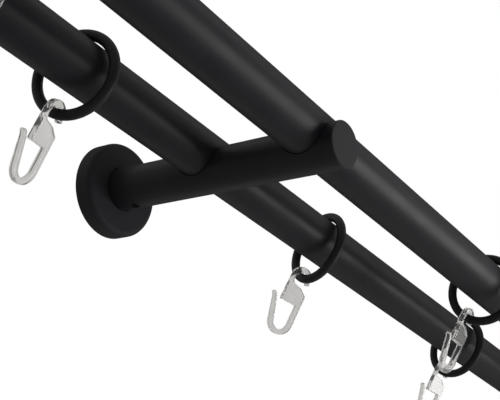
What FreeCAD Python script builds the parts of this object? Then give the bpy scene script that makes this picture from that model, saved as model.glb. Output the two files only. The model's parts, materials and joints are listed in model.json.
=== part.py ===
import FreeCAD, Part
import math
import os

os.makedirs("parts", exist_ok=True)

# Double curtain pole. All lengths are in millimetres and all angles in degrees.
# X runs along the poles, the wall is the plane y = 0, the room lies towards -Y and Z points up.
# The origin lies on the wall, midway between the brackets, at the height of the arms' axes.

# Poles: two equal round tubes
pole_diameter = 20.0
pole_wall = 1.2
pole_overhang = 200.0
rear_pole_distance = 53.5
pole_spacing = 50.0

# Bracket arm: a round bar with an open saddle for each pole
bracket_spacing = 600.0
arm_diameter = 18.0
arm_edge = 0.4
arm_nose_wall = 3.7
saddle_floor = 3.9
saddle_clearance = 0.3

# Wall plate with its spigot, fixed by two wall screws
plate_thickness = 3.0
plate_rim = 2.75
screw_hole_diameter = 4.5
screw_head_room = 4.0
spigot_diameter = 10.0
spigot_length = 20.0
spigot_clearance = 0.1
spigot_edge = 0.6

# Rosette: a hollow round cover that slides along the arm
rosette_depth = 8.0
rosette_wall = 1.5
rosette_edge = 2.2
rosette_arm_clearance = 0.3
rosette_plate_clearance = 0.5

# Socket set screw that clamps the arm on the spigot
grub_diameter = 4.0
grub_length = 3.0
grub_clearance = 0.1
grub_tip_gap = 0.1
grub_setback = 8.5
grub_socket_width = 2.0
grub_socket_depth = 1.5

# End caps: a plug inside the tube and a head too wide for a ring to pass
cap_head_length = 6.0
cap_head_overlap = 1.5
cap_plug_length = 14.0
cap_plug_clearance = 0.1
cap_edge = 0.8

# Curtain rings of round wire, hanging on the poles
ring_play = 7.0
ring_wire = 4.0
ring_seat_gap = 0.3
ring_lean = 21.5

# Pleat hooks: one flat moulded profile with a clip, a plate, a leg, a bend and a free arm
hook_width = 2.6
hook_bar = 2.4
hook_drop = 27.9
hook_leg_reach = 4.4
hook_bend_radius = 6.3
hook_arm_bar = 1.6
hook_arm_lean = 15.0
hook_arm_length = 10.6
hook_tip_angle = 20.0
hook_tip_length = 1.6
clip_wall = 1.0
clip_play = 1.7
clip_seat_gap = 0.4
clip_seat_angle = -8.0
clip_end_angle = 198.0
clip_mouth_angle = 285.0
clip_lip = 1.1
lip_start_turn = 4.0
lip_end_turn = 14.0
plate_height = 7.9
plate_side_reach = 6.7
plate_corner_drop = 2.3
plate_neck_rise = 0.35
plate_neck_reach = 0.4

# Rings at rest: how far each one hangs from a bracket along X, its turn about the hanging line, and how
# far its hook has slipped along the wire. Negative offsets are to the left of that bracket.
rear_rings_by_left_bracket = [(-74.5, 15.7, -0.5), (83.2, -18.7, 0.5), (224.0, -11.9, 1.5)]
rear_rings_by_right_bracket = [(-190.0, 9.0, -0.4), (74.5, -12.0, 0.6)]
front_rings_by_left_bracket = [(-142.0, -8.0, 0.0), (149.6, 3.3, 1.6)]
front_rings_by_right_bracket = [(-280.0, -10.0, 0.7), (-110.0, 12.0, -0.5), (142.0, 7.0, 0.3)]

# Sizes that follow from the ones above
pole_radius = pole_diameter / 2
pole_bore_radius = pole_radius - pole_wall
pole_length = bracket_spacing + 2 * pole_overhang
front_pole_distance = rear_pole_distance + pole_spacing
arm_radius = arm_diameter / 2
saddle_radius = pole_radius + saddle_clearance
pole_rise = saddle_floor + saddle_radius - arm_radius
arm_length = front_pole_distance + saddle_radius + arm_nose_wall
screw_hole_offset = arm_radius + screw_head_room
plate_radius = screw_hole_offset + screw_hole_diameter / 2 + plate_rim
rosette_inner_radius = plate_radius + rosette_plate_clearance
rosette_radius = rosette_inner_radius + rosette_wall
spigot_radius = spigot_diameter / 2
socket_radius = spigot_radius + spigot_clearance
grub_radius = grub_diameter / 2
grub_distance = rosette_depth + grub_setback
ring_inner_radius = (pole_diameter + ring_play) / 2
wire_radius = ring_wire / 2
ring_radius = ring_inner_radius + wire_radius
ring_hang = ring_inner_radius - pole_radius - ring_seat_gap
cap_head_radius = ring_inner_radius + cap_head_overlap
cap_plug_radius = pole_bore_radius - cap_plug_clearance
clip_inner_radius = wire_radius + clip_play
clip_outer_radius = clip_inner_radius + clip_wall

X_AXIS = FreeCAD.Vector(1, 0, 0)
Y_AXIS = FreeCAD.Vector(0, 1, 0)
Z_AXIS = FreeCAD.Vector(0, 0, 1)
left_bracket_x = -bracket_spacing / 2
right_bracket_x = bracket_spacing / 2


def rod(radius, length, base, direction):
    return Part.makeCylinder(radius, length, FreeCAD.Vector(*base), direction)


def save(shape, name):
    shape.exportStep("parts/" + name + ".step")


def make_pole(distance):
    start = (-pole_length / 2, -distance, pole_rise)
    tube = rod(pole_radius, pole_length, start, X_AXIS)
    return tube.cut(rod(pole_bore_radius, pole_length, start, X_AXIS))


def make_cap(distance, side):
    # The half profile is turned about the pole's axis, then set in the left or the right end.
    outline = [
        (-cap_plug_length, 0),
        (-cap_plug_length, cap_plug_radius - cap_edge),
        (-cap_plug_length + cap_edge, cap_plug_radius),
        (0, cap_plug_radius),
        (0, cap_head_radius),
        (cap_head_length - cap_edge, cap_head_radius),
        (cap_head_length, cap_head_radius - cap_edge),
        (cap_head_length, 0),
    ]
    points = [FreeCAD.Vector(x, r, 0) for x, r in outline]
    profile = Part.Face(Part.makePolygon(points + points[:1]))
    cap = profile.revolve(FreeCAD.Vector(0, 0, 0), X_AXIS, 360)
    if side < 0:
        cap.rotate(FreeCAD.Vector(0, 0, 0), Z_AXIS, 180)
    cap.translate(FreeCAD.Vector(side * pole_length / 2, -distance, pole_rise))
    return cap


def make_saddle_cut(x, distance):
    # A round floor under the pole and straight sides above its axis, so that the pole drops in.
    start_x = x - arm_diameter
    width = 2 * arm_diameter
    floor = rod(saddle_radius, width, (start_x, -distance, pole_rise), X_AXIS)
    corner = FreeCAD.Vector(start_x, -distance - saddle_radius, pole_rise)
    return floor.fuse(Part.makeBox(width, 2 * saddle_radius, arm_diameter, corner))


def make_arm(x):
    front = -arm_length
    length = arm_length - plate_thickness
    arm = rod(arm_radius, length, (x, front, 0), Y_AXIS)
    front_rim = [edge for edge in arm.Edges if abs(edge.BoundBox.YMax - front) < 0.001]
    arm = arm.makeChamfer(arm_edge, front_rim)
    socket_length = spigot_length + spigot_edge
    socket = rod(socket_radius, socket_length, (x, -plate_thickness - socket_length, 0), Y_AXIS)
    arm = arm.cut(socket)
    for distance in (rear_pole_distance, front_pole_distance):
        arm = arm.cut(make_saddle_cut(x, distance))
    grub_hole = rod(grub_radius + grub_clearance, arm_radius, (x, -grub_distance, -arm_radius), Z_AXIS)
    return arm.cut(grub_hole)


def make_wall_plate(x):
    disc = rod(plate_radius, plate_thickness, (x, -plate_thickness, 0), Y_AXIS)
    spigot_end = -plate_thickness - spigot_length
    spigot = rod(spigot_radius, spigot_length, (x, spigot_end, 0), Y_AXIS)
    end_rim = [edge for edge in spigot.Edges if abs(edge.BoundBox.YMax - spigot_end) < 0.001]
    plate = disc.fuse(spigot.makeChamfer(spigot_edge, end_rim)).removeSplitter()
    for side in (-1, 1):
        start = (x, -plate_thickness, side * screw_hole_offset)
        plate = plate.cut(rod(screw_hole_diameter / 2, plate_thickness, start, Y_AXIS))
    return plate


def make_rosette(x):
    cover = rod(rosette_radius, rosette_depth, (x, -rosette_depth, 0), Y_AXIS)
    front_rim = [edge for edge in cover.Edges if abs(edge.BoundBox.YMax + rosette_depth) < 0.001]
    cover = cover.makeFillet(rosette_edge, front_rim)
    hollow_depth = rosette_depth - rosette_wall
    cover = cover.cut(rod(rosette_inner_radius, hollow_depth, (x, -hollow_depth, 0), Y_AXIS))
    arm_hole = rod(arm_radius + rosette_arm_clearance, rosette_depth, (x, -rosette_depth, 0), Y_AXIS)
    return cover.cut(arm_hole)


def make_grub_screw(x):
    top = -spigot_radius - grub_tip_gap
    bottom = top - grub_length
    screw = rod(grub_radius, grub_length, (x, -grub_distance, bottom), Z_AXIS)
    corner_radius = grub_socket_width / math.sqrt(3)
    corners = []
    for step in range(7):
        turn = math.radians(60 * step)
        corner_x = x + corner_radius * math.cos(turn)
        corner_y = -grub_distance + corner_radius * math.sin(turn)
        corners.append(FreeCAD.Vector(corner_x, corner_y, bottom))
    socket = Part.Face(Part.makePolygon(corners)).extrude(Z_AXIS * grub_socket_depth)
    return screw.cut(socket)


def make_hook_profile():
    # Drawn in the XZ plane about the centre of the ring's wire, with the free arm on the +X side.
    clip_shift = clip_play - clip_seat_gap
    clip_x = clip_shift * math.cos(math.radians(clip_seat_angle))
    clip_z = clip_shift * math.sin(math.radians(clip_seat_angle))
    clip_low = clip_z - clip_outer_radius
    bend_x = hook_bend_radius - hook_leg_reach
    bend_z = hook_bend_radius - hook_drop
    bend_inner_radius = hook_bend_radius - hook_bar
    leg_inner_x = hook_bar - hook_leg_reach

    def at(centre_x, centre_z, radius, angle):
        turn = math.radians(angle)
        return FreeCAD.Vector(centre_x + radius * math.cos(turn), 0, centre_z + radius * math.sin(turn))

    def arc(centre_x, centre_z, radius, start, end):
        middle = (start + end) / 2
        points = [at(centre_x, centre_z, radius, angle) for angle in (start, middle, end)]
        return Part.Arc(*points).toShape()

    def along(point, lean, length):
        turn = math.radians(lean)
        return point + FreeCAD.Vector(length * math.sin(turn), 0, length * math.cos(turn))

    edges = [arc(clip_x, clip_z, clip_outer_radius, 0, clip_end_angle)]

    def line_to(point):
        start = edges[-1].lastVertex(True).Point
        edges.append(Part.LineSegment(start, point).toShape())

    # The clip's free end turns out into a small lip.
    lip_radius = clip_outer_radius + clip_lip
    lip_end_angle = clip_end_angle + lip_end_turn
    line_to(at(clip_x, clip_z, lip_radius, clip_end_angle + lip_start_turn))
    line_to(at(clip_x, clip_z, lip_radius, lip_end_angle))
    line_to(at(clip_x, clip_z, clip_inner_radius, lip_end_angle))
    edges.append(arc(clip_x, clip_z, clip_inner_radius, lip_end_angle, clip_mouth_angle - 360))

    # Plate with its pointed corner, then the outside of the leg, the bend and the free arm
    line_to(FreeCAD.Vector(-plate_neck_reach, 0, clip_low + plate_neck_rise))
    line_to(FreeCAD.Vector(-hook_leg_reach, 0, clip_low - plate_corner_drop))
    line_to(FreeCAD.Vector(-hook_leg_reach, 0, bend_z))
    edges.append(arc(bend_x, bend_z, hook_bend_radius, 180, 360 - hook_arm_lean))
    outer_foot = at(bend_x, bend_z, hook_bend_radius, -hook_arm_lean)
    inner_foot = at(bend_x, bend_z, bend_inner_radius, -hook_arm_lean)
    outer_knee = along(outer_foot, hook_arm_lean, hook_arm_length)
    inner_knee = along(outer_knee, hook_arm_lean - 90, hook_arm_bar)
    tip_lean = hook_arm_lean + hook_tip_angle
    outer_tip = along(outer_knee, tip_lean, hook_tip_length)
    inner_tip = along(inner_knee, tip_lean, hook_tip_length)
    tip_crown = along((outer_tip + inner_tip) * 0.5, tip_lean, hook_arm_bar / 2)
    line_to(outer_knee)
    line_to(outer_tip)
    edges.append(Part.Arc(outer_tip, tip_crown, inner_tip).toShape())

    # Back along the inside, which tapers the free arm, to the plate's lower edge
    line_to(inner_knee)
    line_to(inner_foot)
    edges.append(arc(bend_x, bend_z, bend_inner_radius, 360 - hook_arm_lean, 180))
    line_to(FreeCAD.Vector(leg_inner_x, 0, clip_low - plate_height))
    line_to(FreeCAD.Vector(plate_side_reach, 0, clip_low - plate_height))
    line_to(edges[0].firstVertex(True).Point)
    return Part.Face(Part.Wire(edges))


def beside(bracket_x, rings):
    return [(bracket_x + offset, turn, slip) for offset, turn, slip in rings]


def hang(shape, x, distance, turn, slip=0):
    # The rings hang with a lean towards the wall, as photographed, and turn about that hanging line.
    # What has slipped along a ring's wire sits a little higher, because the wire curves up.
    origin = FreeCAD.Vector(0, 0, 0)
    rise = ring_radius - math.sqrt(ring_radius ** 2 - slip ** 2)
    placed = shape.translated(FreeCAD.Vector(0, slip, rise))
    placed.rotate(origin, Z_AXIS, turn)
    placed.translate(FreeCAD.Vector(0, 0, -ring_hang))
    placed.rotate(origin, X_AXIS, ring_lean)
    placed.translate(FreeCAD.Vector(x, -distance, pole_rise))
    return placed


def make_hook():
    hook = make_hook_profile().extrude(Y_AXIS * hook_width)
    hook.translate(FreeCAD.Vector(0, -hook_width / 2, -ring_radius))
    hook.rotate(FreeCAD.Vector(0, 0, 0), Z_AXIS, 180)
    return hook


for side_name, bracket_x in (("left", left_bracket_x), ("right", right_bracket_x)):
    save(make_wall_plate(bracket_x), side_name + "_wall_plate")
    save(make_rosette(bracket_x), side_name + "_rosette")
    save(make_arm(bracket_x), side_name + "_arm")
    save(make_grub_screw(bracket_x), side_name + "_arm_screw")

ring = Part.makeTorus(ring_radius, wire_radius, FreeCAD.Vector(0, 0, 0), X_AXIS)
hook = make_hook()
rear_rings = beside(left_bracket_x, rear_rings_by_left_bracket)
rear_rings += beside(right_bracket_x, rear_rings_by_right_bracket)
front_rings = beside(left_bracket_x, front_rings_by_left_bracket)
front_rings += beside(right_bracket_x, front_rings_by_right_bracket)

for pole_name, distance, rings in (
    ("rear", rear_pole_distance, rear_rings),
    ("front", front_pole_distance, front_rings),
):
    save(make_pole(distance), pole_name + "_pole")
    save(make_cap(distance, -1), pole_name + "_cap_left")
    save(make_cap(distance, 1), pole_name + "_cap_right")
    for number, (ring_x, turn, slip) in enumerate(rings, 1):
        save(hang(ring, ring_x, distance, turn), "%s_ring_%d" % (pole_name, number))
        save(hang(hook, ring_x, distance, turn, slip), "%s_hook_%d" % (pole_name, number))
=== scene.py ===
# %% [markdown]
# # A double curtain pole
# Two black tubes lie in the open saddles of two bracket arms. Wire rings hang on the tubes, and a
# clear plastic pleat hook hangs in each ring. The hard shapes come from the CAD frame, so this
# lesson gives them their finishes, moulds the hooks with rounded edges, and sets up the studio
# and the camera.

# %% Load the frame
import json
import math

import bmesh
import bpy
from mathutils import Matrix, Vector


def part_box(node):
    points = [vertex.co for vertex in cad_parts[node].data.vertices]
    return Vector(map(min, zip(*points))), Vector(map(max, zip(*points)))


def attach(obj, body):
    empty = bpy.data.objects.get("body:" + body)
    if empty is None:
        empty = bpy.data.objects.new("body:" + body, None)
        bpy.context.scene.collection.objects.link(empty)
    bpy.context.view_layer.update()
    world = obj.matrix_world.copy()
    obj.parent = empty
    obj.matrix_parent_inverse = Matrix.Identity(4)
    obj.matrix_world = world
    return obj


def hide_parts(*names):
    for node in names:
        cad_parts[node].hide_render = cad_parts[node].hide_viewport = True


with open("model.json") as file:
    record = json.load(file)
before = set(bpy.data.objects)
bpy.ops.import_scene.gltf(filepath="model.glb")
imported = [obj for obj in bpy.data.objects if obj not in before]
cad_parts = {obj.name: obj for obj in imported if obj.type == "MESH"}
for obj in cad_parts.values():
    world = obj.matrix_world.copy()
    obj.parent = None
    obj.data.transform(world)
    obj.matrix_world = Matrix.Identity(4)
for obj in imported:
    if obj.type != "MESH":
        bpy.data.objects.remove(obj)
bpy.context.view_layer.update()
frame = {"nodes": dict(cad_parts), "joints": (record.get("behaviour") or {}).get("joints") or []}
nodes = frame["nodes"]
scene = bpy.context.scene
MM = 0.001

# %% [markdown]
# ## Camera
# The photograph looks up at the left bracket from below and in front. The camera's place and
# direction were worked out from the straight edges of the poles and the round edges of the
# rosette. A camera's own axes are its right, its up and the way back from the view, so the three
# directions can be written straight into its matrix.

# %% Camera
PICTURE_WIDTH = 500
FOCAL_PIXELS = 1054.0
SENSOR_WIDTH = 36.0
NEAREST_SEEN = 0.01
LEFT_BRACKET = Vector((-0.3, 0.0, 0.0))
CAMERA_FROM_BRACKET = Vector((-0.27781, -0.30822, -0.18161))
VIEW_RIGHT = Vector((0.5820, -0.8010, 0.1403))
VIEW_DOWN = Vector((0.4153, 0.1444, -0.8982))
view_back = VIEW_RIGHT.cross(-VIEW_DOWN)
camera_data = bpy.data.cameras.new("photo_camera")
camera_data.sensor_fit = "HORIZONTAL"
camera_data.sensor_width = SENSOR_WIDTH
camera_data.lens = SENSOR_WIDTH * FOCAL_PIXELS / PICTURE_WIDTH
camera_data.clip_start = NEAREST_SEEN
camera = bpy.data.objects.new("photo_camera", camera_data)
scene.collection.objects.link(camera)
turn = Matrix((VIEW_RIGHT, -VIEW_DOWN, view_back)).transposed().to_4x4()
camera.matrix_world = Matrix.Translation(LEFT_BRACKET + CAMERA_FROM_BRACKET) @ turn
scene.camera = camera
print("lens in mm:", round(camera_data.lens, 2))

# %% [markdown]
# ## Studio
# The photograph has a white background, and the metal on it is lit plainly from all sides. One
# world can do both: it is white where the camera, a reflection or the clear plastic looks at it,
# and a little lower as a light. Light Path tells the two apart, because it knows what kind of
# ray has come.

# %% World
ROOM_STRENGTH = 0.55
WHITE_STRENGTH = 1.0
WHITE = (1.0, 1.0, 1.0, 1.0)


def math_node(tree, operation, first, second):
    node = tree.nodes.new("ShaderNodeMath")
    node.operation = operation
    tree.links.new(first, node.inputs[0])
    tree.links.new(second, node.inputs[1])
    return node.outputs[0]


def background(tree, strength):
    node = tree.nodes.new("ShaderNodeBackground")
    node.inputs["Color"].default_value = WHITE
    node.inputs["Strength"].default_value = strength
    return node.outputs[0]


scene.view_settings.view_transform = "Standard"
scene.cycles.denoising_input_passes = "RGB"
world = bpy.data.worlds.new("white_studio")
scene.world = world
world.use_nodes = True
world_tree = world.node_tree
world_tree.nodes.clear()
ray = world_tree.nodes.new("ShaderNodeLightPath").outputs
looked_at = math_node(world_tree, "MAXIMUM", ray["Is Camera Ray"], ray["Is Glossy Ray"])
looked_at = math_node(world_tree, "MAXIMUM", looked_at, ray["Is Transmission Ray"])
choose = world_tree.nodes.new("ShaderNodeMixShader")
world_tree.links.new(looked_at, choose.inputs["Fac"])
world_tree.links.new(background(world_tree, ROOM_STRENGTH), choose.inputs[1])
world_tree.links.new(background(world_tree, WHITE_STRENGTH), choose.inputs[2])
world_out = world_tree.nodes.new("ShaderNodeOutputWorld")
world_tree.links.new(choose.outputs[0], world_out.inputs["Surface"])
print("world nodes:", len(world_tree.nodes))

# %% [markdown]
# One large soft light stands at the front right. It draws the pale streak along each tube, and
# its size sets how wide the streak is. The clear plastic doesn't see it, since a lamp's disc
# inside a hook would look like a white stain.

# %% Softbox
SOFTBOX_PLACE = Vector((0.96, -1.36, -0.20))
SOFTBOX_TARGET = Vector((-0.3, -0.08, 0.0))
SOFTBOX_SIZE = 1.10
SOFTBOX_WATTS = 30
softbox_data = bpy.data.lights.new("front_softbox", "AREA")
softbox_data.shape = "DISK"
softbox_data.size = SOFTBOX_SIZE
softbox_data.energy = SOFTBOX_WATTS
softbox = bpy.data.objects.new("front_softbox", softbox_data)
scene.collection.objects.link(softbox)
softbox.location = SOFTBOX_PLACE
aim = SOFTBOX_TARGET - SOFTBOX_PLACE
softbox.rotation_euler = aim.to_track_quat("-Z", "Y").to_euler()
softbox.visible_transmission = False

# %% [markdown]
# A pale floor lies well below, so that the camera, which looks up, never meets it. Other views
# do, and there it would look grey next to the white world. So it glows a little where the camera
# or the clear plastic looks at it, which lifts its colour and adds no light to the part.

# %% Floor
FLOOR_POINTS = 96
FLOOR_RADIUS = 6.0
FLOOR_HEIGHT = -0.8
FLOOR_COLOUR = (0.86, 0.86, 0.86, 1.0)
FLOOR_ROUGHNESS = 0.9
FLOOR_LIFT = 0.34
bpy.ops.object.select_all(action="DESELECT")
bpy.ops.mesh.primitive_circle_add(
    vertices=FLOOR_POINTS, radius=FLOOR_RADIUS, fill_type="NGON", location=(0, 0, FLOOR_HEIGHT)
)
floor = bpy.context.object
floor.name = "studio_floor"
floor_finish = bpy.data.materials.new("pale_floor")
floor_finish.use_nodes = True
floor_tree = floor_finish.node_tree
floor_shader = floor_tree.nodes["Principled BSDF"]
floor_shader.inputs["Base Color"].default_value = FLOOR_COLOUR
floor_shader.inputs["Roughness"].default_value = FLOOR_ROUGHNESS
floor_shader.inputs["Emission Color"].default_value = WHITE
ray = floor_tree.nodes.new("ShaderNodeLightPath").outputs
looked_at = math_node(floor_tree, "MAXIMUM", ray["Is Camera Ray"], ray["Is Transmission Ray"])
lift = floor_tree.nodes.new("ShaderNodeMath")
lift.operation = "MULTIPLY"
lift.inputs[1].default_value = FLOOR_LIFT
floor_tree.links.new(looked_at, lift.inputs[0])
floor_tree.links.new(lift.outputs[0], floor_shader.inputs["Emission Strength"])
floor.data.materials.append(floor_finish)
print("floor at", floor.location.z)

# %% [markdown]
# ## Finishes
# Every finish here is built from noise on Object coordinates, so a pattern has the same real size
# on every piece. A few helpers make the nodes: a noise, a colour that drifts between two tones,
# a number that drifts between two values, and a bump. Noise hardly leaves the middle of its
# range, so only that band is stretched over the tones.

# %% Finish helpers
NOISE_BAND = (0.3, 0.7)


def new_finish(name):
    material = bpy.data.materials.new(name)
    material.use_nodes = True
    tree = material.node_tree
    place = tree.nodes.new("ShaderNodeTexCoord").outputs["Object"]
    return material, tree, tree.nodes["Principled BSDF"], place


def noise(tree, place, scale, detail):
    node = tree.nodes.new("ShaderNodeTexNoise")
    node.inputs["Scale"].default_value = scale
    node.inputs["Detail"].default_value = detail
    tree.links.new(place, node.inputs["Vector"])
    return node.outputs["Fac"]


def drift(tree, source, low, high, band=NOISE_BAND):
    node = tree.nodes.new("ShaderNodeMapRange")
    node.inputs["From Min"].default_value = band[0]
    node.inputs["From Max"].default_value = band[1]
    node.inputs["To Min"].default_value = low
    node.inputs["To Max"].default_value = high
    tree.links.new(source, node.inputs["Value"])
    return node.outputs["Result"]


def drifting_colour(tree, source, shader, low, high):
    ramp = tree.nodes.new("ShaderNodeValToRGB")
    for stop, colour, position in zip(ramp.color_ramp.elements, (low, high), NOISE_BAND):
        stop.color = (*colour, 1.0)
        stop.position = position
    tree.links.new(source, ramp.inputs["Fac"])
    tree.links.new(ramp.outputs["Color"], shader.inputs["Base Color"])


def grain_bump(tree, source, shader, strength, distance):
    bump = tree.nodes.new("ShaderNodeBump")
    bump.inputs["Strength"].default_value = strength
    bump.inputs["Distance"].default_value = distance
    tree.links.new(source, bump.inputs["Height"])
    tree.links.new(bump.outputs["Normal"], shader.inputs["Normal"])


print("noise band:", NOISE_BAND)

# %% [markdown]
# The metal is powder coated: black, matt, with a very fine grain that breaks up the highlights.
# The grain drives a bump, a wider cloud varies the roughness a little, and the colour drifts
# between two near blacks. Even a matt surface mirrors its surroundings when it is seen almost
# along itself, which would draw bright lines along the tubes. The grains of a real coat hide
# each other there, so Layer Weight makes the coat rougher towards that view. The rosettes have
# the dullest coat.

# %% Powder coat
CLOUD_SCALE = 60.0
CLOUD_DETAIL = 3.0
GRAIN_SCALE = 2600.0
GRAIN_DETAIL = 2.0
GRAIN_STRENGTH = 0.12
GRAIN_HEIGHT = 0.00012
EVEN_BLEND = 0.5
GRAZING_BAND = (0.5, 0.95)
GRAZING_ROUGHNESS = 0.5


def powder_coat(name, dark, light, rough_low, rough_high, shine):
    material, tree, shader, place = new_finish(name)
    cloud = noise(tree, place, CLOUD_SCALE, CLOUD_DETAIL)
    grain = noise(tree, place, GRAIN_SCALE, GRAIN_DETAIL)
    drifting_colour(tree, cloud, shader, dark, light)
    view = tree.nodes.new("ShaderNodeLayerWeight")
    view.inputs["Blend"].default_value = EVEN_BLEND
    grazing = drift(tree, view.outputs["Facing"], 0.0, GRAZING_ROUGHNESS, GRAZING_BAND)
    roughness = math_node(tree, "ADD", drift(tree, cloud, rough_low, rough_high), grazing)
    tree.links.new(roughness, shader.inputs["Roughness"])
    shader.inputs["Specular IOR Level"].default_value = shine
    grain_bump(tree, grain, shader, GRAIN_STRENGTH, GRAIN_HEIGHT)
    return material


pole_coat = powder_coat(
    "black_powder_coat", (0.0080, 0.0080, 0.0094), (0.0104, 0.0104, 0.0118), 0.38, 0.46, 0.07
)
ring_coat = powder_coat(
    "black_ring_coat", (0.0088, 0.0088, 0.0102), (0.0110, 0.0110, 0.0124), 0.42, 0.50, 0.07
)
cover_coat = powder_coat(
    "black_cover_coat", (0.0120, 0.0120, 0.0136), (0.0150, 0.0150, 0.0166), 0.48, 0.56, 0.035
)
print("coats:", pole_coat.name, ring_coat.name, cover_coat.name)

# %% [markdown]
# Under the rosette sits the wall plate. It is zinc plated steel: a metal with a soft, blotchy
# shine. A stretched noise gives the faint rolling lines of sheet steel.

# %% Zinc plate
ROLLING_STRETCH = (1.0, 1.0, 9.0)
ROLLING_SCALE = 220.0
ROLLING_DETAIL = 4.0
ROLLING_STRENGTH = 0.08
ROLLING_HEIGHT = 0.00005
ZINC_BLOTCH_SCALE = 160.0
ZINC_BLOTCH_DETAIL = 3.0


def zinc_plate():
    material, tree, shader, place = new_finish("zinc_plate")
    stretch = tree.nodes.new("ShaderNodeMapping")
    stretch.inputs["Scale"].default_value = ROLLING_STRETCH
    tree.links.new(place, stretch.inputs["Vector"])
    lines = noise(tree, stretch.outputs["Vector"], ROLLING_SCALE, ROLLING_DETAIL)
    blotch = noise(tree, place, ZINC_BLOTCH_SCALE, ZINC_BLOTCH_DETAIL)
    drifting_colour(tree, blotch, shader, (0.50, 0.51, 0.53), (0.66, 0.67, 0.69))
    tree.links.new(drift(tree, lines, 0.26, 0.42), shader.inputs["Roughness"])
    shader.inputs["Metallic"].default_value = 1.0
    grain_bump(tree, lines, shader, ROLLING_STRENGTH, ROLLING_HEIGHT)
    return material


zinc = zinc_plate()
print("plating:", zinc.name)

# %% [markdown]
# The set screw that clamps the arm sits in a hole on the arm's underside. Such screws are black
# oxide steel: still a metal, but nearly as dark as the coat, so the photograph hardly shows it.

# %% Black oxide steel
OXIDE_BLOTCH_SCALE = 900.0
OXIDE_BLOTCH_DETAIL = 2.0


def black_oxide():
    material, tree, shader, place = new_finish("black_oxide_steel")
    blotch = noise(tree, place, OXIDE_BLOTCH_SCALE, OXIDE_BLOTCH_DETAIL)
    drifting_colour(tree, blotch, shader, (0.038, 0.038, 0.041), (0.052, 0.052, 0.055))
    tree.links.new(drift(tree, blotch, 0.40, 0.52), shader.inputs["Roughness"])
    shader.inputs["Metallic"].default_value = 1.0
    return material


dark_steel = black_oxide()
print("screw finish:", dark_steel.name)

# %% [markdown]
# The hooks are moulded in clear plastic, which looks grey white on a white background and lets
# the black show through. Transmission does most of this. A slight milkiness and small changes in
# roughness keep it from looking like glass, and so does a weak mirror shine.

# %% Clear plastic
MILK_SCALE = 240.0
MILK_DETAIL = 1.0


def clear_plastic():
    material, tree, shader, place = new_finish("clear_hook_plastic")
    milk = noise(tree, place, MILK_SCALE, MILK_DETAIL)
    drifting_colour(tree, milk, shader, (0.50, 0.49, 0.475), (0.58, 0.57, 0.555))
    tree.links.new(drift(tree, milk, 0.05, 0.09), shader.inputs["Roughness"])
    shader.inputs["IOR"].default_value = 1.38
    shader.inputs["Transmission Weight"].default_value = 0.94
    shader.inputs["Specular IOR Level"].default_value = 0.12
    return material


plastic = clear_plastic()
print("plastic:", plastic.name)

# %% [markdown]
# ## The pleat hook
# On the real pole each hook is one moulding: a clip that snaps over the ring's wire, a plate with
# a pointed corner, a straight leg, a round bend and a thin free arm with a turned out tip. It
# could be cut from a block or swept along a path, but its outline is all of its shape. So the
# outline is drawn as with a pen, by extruding its last point in straight lines and spinning it
# round centres. It starts as a circle, the outside of the clip.
#
# The sizes are millimetres from the middle of the ring's wire, x towards the free arm and z up.
# Angles are degrees from x towards z, and a lean is degrees from upright.

# %% Places on the hook
HOOK_WIDTH = 2.6


def flat(x, z):
    return Vector((x, -HOOK_WIDTH / 2, z)) * MM


def at(centre, radius, degrees):
    angle = math.radians(degrees)
    return centre + Vector((math.cos(angle), 0.0, math.sin(angle))) * radius * MM


def along(point, lean, length):
    angle = math.radians(lean)
    return point + Vector((math.sin(angle), 0.0, math.cos(angle))) * length * MM


def in_mm(place):
    return [round(v / MM, 2) for v in place]


wire_centre = flat(0, 0)
print("wire centre in mm:", in_mm(wire_centre))

# %% [markdown]
# The pen is the outline's one selected point. Extrude draws a line from it and leaves the new
# point selected, and spin does the same with an arc, so one call follows the other.

# %% Pen helpers


def pick(*places):
    # Selects the vertex nearest to each place, and nothing else.
    bpy.ops.mesh.select_all(action="DESELECT")
    sheet = bmesh.from_edit_mesh(bpy.context.object.data)
    for place in places:
        min(sheet.verts, key=lambda vertex: (vertex.co - place).length).select_set(True)
    sheet.select_flush(True)
    bmesh.update_edit_mesh(bpy.context.object.data)


def pen_place():
    sheet = bmesh.from_edit_mesh(bpy.context.object.data)
    return next(vertex.co.copy() for vertex in sheet.verts if vertex.select)


def line_to(place):
    bpy.ops.mesh.extrude_vertices_move(TRANSFORM_OT_translate={"value": place - pen_place()})


def sweep(centre, degrees, steps):
    # A positive sweep runs from x towards z.
    bpy.ops.mesh.spin(steps=steps, angle=math.radians(degrees), center=centre, axis=(0, 1, 0))


print("pen helpers ready")

# %% [markdown]
# The clip follows the photograph: it lies snug over the wire and opens into a wider throat at the
# plate. The circle has a point every six degrees, so the clip's end falls on one of them. The
# points beyond that end are deleted, and the pen starts there: round the lip and its foot, then
# back along the bore and the throat.

# %% The outside of the clip
CIRCLE_STEPS = 60
CLIP_OUTER = 4.9
CLIP_OFFSET = 1.35
CLIP_OFFSET_ANGLE = -6.0
CLIP_END = 192.0
clip_centre = at(wire_centre, CLIP_OFFSET, CLIP_OFFSET_ANGLE)
bpy.ops.object.select_all(action="DESELECT")
bpy.ops.mesh.primitive_circle_add(
    vertices=CIRCLE_STEPS,
    radius=CLIP_OUTER * MM,
    location=clip_centre,
    rotation=(math.pi / 2, 0, 0),
)
hook_form = bpy.context.object
hook_form.name = "hook_form"
bpy.ops.object.transform_apply(location=True, rotation=True, scale=True)
bpy.ops.object.mode_set(mode="EDIT")
bpy.ops.mesh.select_all(action="DESELECT")
outline = bmesh.from_edit_mesh(hook_form.data)
for vertex in outline.verts:
    arm = vertex.co - clip_centre
    angle = math.degrees(math.atan2(arm.z, arm.x)) % 360
    # One degree of room keeps the points at the clip's end and at zero.
    vertex.select_set(CLIP_END + 1 < angle < 359)
bmesh.update_edit_mesh(hook_form.data)
bpy.ops.mesh.delete(type="VERT")
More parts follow.
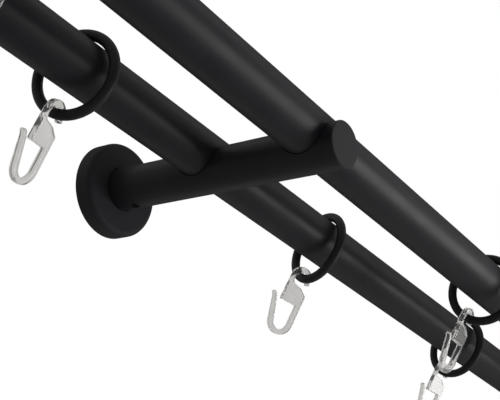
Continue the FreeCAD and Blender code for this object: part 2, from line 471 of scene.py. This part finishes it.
print("clip centre in mm:", in_mm(clip_centre))

# %% Lip, bore and throat
LIP_REACH = 4.4
LIP_ANGLE = 206.0
FOOT_REACH = 3.6
FOOT_ANGLE = 228.0
BORE_RADIUS = 2.4
BORE_START = 222.0
BORE_END = 50.0
BORE_STEPS = 20
THROAT_OFFSET = 1.95
THROAT_OFFSET_ANGLE = -50.0
THROAT_END = -40.0
THROAT_STEPS = 11
pick(at(clip_centre, CLIP_OUTER, CLIP_END))
line_to(at(wire_centre, LIP_REACH, LIP_ANGLE))
line_to(at(wire_centre, FOOT_REACH, FOOT_ANGLE))
line_to(at(wire_centre, BORE_RADIUS, BORE_START))
sweep(wire_centre, BORE_END - BORE_START, BORE_STEPS)
throat_centre = at(wire_centre, THROAT_OFFSET, THROAT_OFFSET_ANGLE)
from_throat = pen_place() - throat_centre
throat_start = math.degrees(math.atan2(from_throat.z, from_throat.x))
sweep(throat_centre, THROAT_END - throat_start, THROAT_STEPS)
print("clip drawn, pen at", in_mm(pen_place()))

# %% [markdown]
# Plate, leg, bend and arm have the sizes of the CAD solid that the moulded hook stands for. From
# the throat the pen goes down the plate's pointed side and the leg, round the bend, up the free
# arm and round its tip, and home along the inside.

# %% Plate and leg
CLIP_DROP = 4.88
NECK_RISE = 0.35
NECK_REACH = 0.4
CORNER_DROP = 2.3
LEG_REACH = 4.4
HOOK_DROP = 27.9
BEND_RADIUS = 6.3
clip_low = -CLIP_DROP
line_to(flat(-NECK_REACH, clip_low + NECK_RISE))
line_to(flat(-LEG_REACH, clip_low - CORNER_DROP))
line_to(flat(-LEG_REACH, BEND_RADIUS - HOOK_DROP))
print("leg drawn, pen at", in_mm(pen_place()))

# %% Bend and free arm
BEND_STEPS = 30
HOOK_BAR = 2.4
ARM_BAR = 1.6
ARM_LEAN = 15.0
ARM_LENGTH = 10.6
TIP_LEAN = ARM_LEAN + 20.0
TIP_LENGTH = 1.6
TIP_STEPS = 10
bend_centre = flat(BEND_RADIUS - LEG_REACH, BEND_RADIUS - HOOK_DROP)
sweep(bend_centre, 180 - ARM_LEAN, BEND_STEPS)
outer_knee = along(at(bend_centre, BEND_RADIUS, -ARM_LEAN), ARM_LEAN, ARM_LENGTH)
inner_knee = along(outer_knee, ARM_LEAN - 90, ARM_BAR)
outer_tip = along(outer_knee, TIP_LEAN, TIP_LENGTH)
inner_tip = along(inner_knee, TIP_LEAN, TIP_LENGTH)
line_to(outer_knee)
line_to(outer_tip)
sweep((outer_tip + inner_tip) / 2, 180, TIP_STEPS)
line_to(inner_knee)
line_to(at(bend_centre, BEND_RADIUS - HOOK_BAR, -ARM_LEAN))
sweep(bend_centre, ARM_LEAN - 180, BEND_STEPS)
print("arm drawn, pen at", in_mm(pen_place()))

# %% Close the outline
PLATE_SIDE = 6.7
PLATE_HEIGHT = 7.9
line_to(flat(HOOK_BAR - LEG_REACH, clip_low - PLATE_HEIGHT))
line_to(flat(PLATE_SIDE, clip_low - PLATE_HEIGHT))
pick(pen_place(), at(clip_centre, CLIP_OUTER, 0))
bpy.ops.mesh.edge_face_add()
print("outline points:", len(bmesh.from_edit_mesh(hook_form.data).verts))

# %% [markdown]
# A mould can't leave knife edges, so the drawn sheet is filled, extruded to the hook's width and
# given a rounded edge all round with a Bevel modifier. Its clamp is off, because the short steps
# of the arcs would make the rounding thinner everywhere. Weighted normals keep the broad faces
# flat while the rounding shades smooth, which is what makes bright lines run along the edges of
# clear plastic.

# %% Fill, extrude and round
EDGE_ROUND = 0.55
ROUND_SEGMENTS = 4
ROUND_FROM_DEGREES = 35
FLAT_FACE_WEIGHT = 60
bpy.ops.mesh.select_all(action="SELECT")
bpy.ops.mesh.edge_face_add()
bpy.ops.mesh.extrude_region_move(TRANSFORM_OT_translate={"value": (0, HOOK_WIDTH * MM, 0)})
bpy.ops.mesh.select_all(action="SELECT")
bpy.ops.mesh.normals_make_consistent(inside=False)
bpy.ops.object.mode_set(mode="OBJECT")
bpy.ops.object.shade_smooth()
rounding = hook_form.modifiers.new("moulded_edge", "BEVEL")
rounding.width = EDGE_ROUND * MM
rounding.segments = ROUND_SEGMENTS
rounding.use_clamp_overlap = False
rounding.limit_method = "ANGLE"
rounding.angle_limit = math.radians(ROUND_FROM_DEGREES)
bpy.ops.object.modifier_apply(modifier=rounding.name)
flatness = hook_form.modifiers.new("flat_faces", "WEIGHTED_NORMAL")
flatness.weight = FLAT_FACE_WEIGHT
bpy.ops.object.modifier_apply(modifier=flatness.name)
hook_form.data.materials.append(plastic)
print("hook faces:", len(hook_form.data.polygons))

# %% [markdown]
# Each hook hangs where its hinge is. The hinge's axis lies along the ring's wire, and the hanging
# line is square to it, so the two give the three directions of a hook. A copy of the form, with
# its own mesh, is carried there.

# %% Hang a hook in each ring
for joint in frame["joints"]:
    if joint["type"] != "hinge":
        continue
    wire = Vector(joint["axis"]).normalized()
    lean = math.atan2(wire.z, wire.y)
    hanging_up = Vector((0.0, -math.sin(lean), math.cos(lean)))
    along_pole = wire.cross(hanging_up)
    directions = Matrix((-along_pole, -wire, hanging_up)).transposed().to_4x4()
    node_name = joint["child"]
    piece = bpy.data.objects.new("moulded_" + node_name, hook_form.data.copy())
    scene.collection.objects.link(piece)
    piece.data.transform(Matrix.Translation(Vector(joint["pos_m"])) @ directions)
    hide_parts(node_name)
    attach(piece, node_name)
    low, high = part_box(node_name)
    piece_low = Vector([min(v.co[k] for v in piece.data.vertices) for k in range(3)])
    piece_high = Vector([max(v.co[k] for v in piece.data.vertices) for k in range(3)])
    apart = ((piece_low - low).length / MM, (piece_high - high).length / MM)
    print(piece.name, "off the solid's box by mm:", [round(v, 2) for v in apart])
bpy.data.objects.remove(hook_form)

# %% [markdown]
# ## Dressing the CAD nodes
# A node's name says what it is, so its finish is found by a word in the name. Poles, arms and
# caps have no word in the list and get the pole's coat. Only the material slots change, because
# a CAD node keeps its mesh and its place.

# %% Give each CAD node its finish
FINISHES = {
    "_wall_plate": zinc,
    "_arm_screw": dark_steel,
    "_ring_": ring_coat,
    "_hook_": plastic,
    "_rosette": cover_coat,
}
for name, node in nodes.items():
    finish = next((FINISHES[word] for word in FINISHES if word in name), pole_coat)
    node.data.materials.clear()
    node.data.materials.append(finish)
print("finished nodes:", len(nodes))
